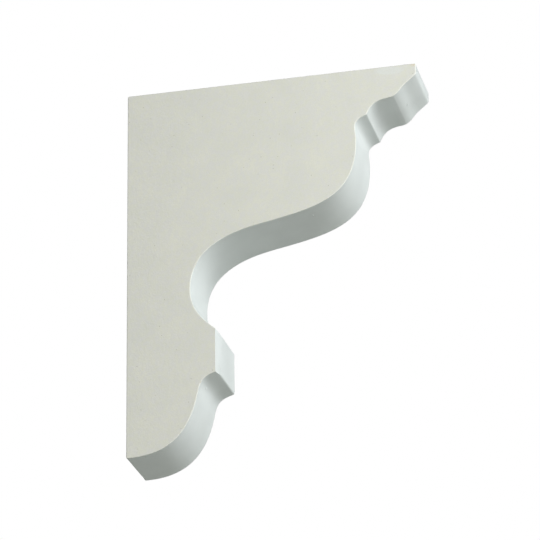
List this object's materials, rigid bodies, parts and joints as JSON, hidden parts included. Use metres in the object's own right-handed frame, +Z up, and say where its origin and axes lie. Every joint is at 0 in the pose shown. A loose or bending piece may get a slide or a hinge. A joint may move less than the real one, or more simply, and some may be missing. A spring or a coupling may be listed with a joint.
{
  "type": "polyurethane bracket",
  "caption": "Scrolled wall bracket cast in foam: flat back and top, flat sides, and one moulded edge of lobes, coves and a long ogee sweep.",
  "frame": {"origin": "centre of the flat back face that goes against the wall", "axes": "+Y into the wall, so the bracket projects towards -Y; +Z up; X through the thickness"},
  "size_m": [0.0762, 0.3302, 0.4318],
  "materials": {
    "primed_foam": "satin factory primer on the moulded edge, sanded warm off-white on the side faces"
  },
  "bodies": {
    "root": {"bracket": "primed_foam"}
  },
  "joints": []
}
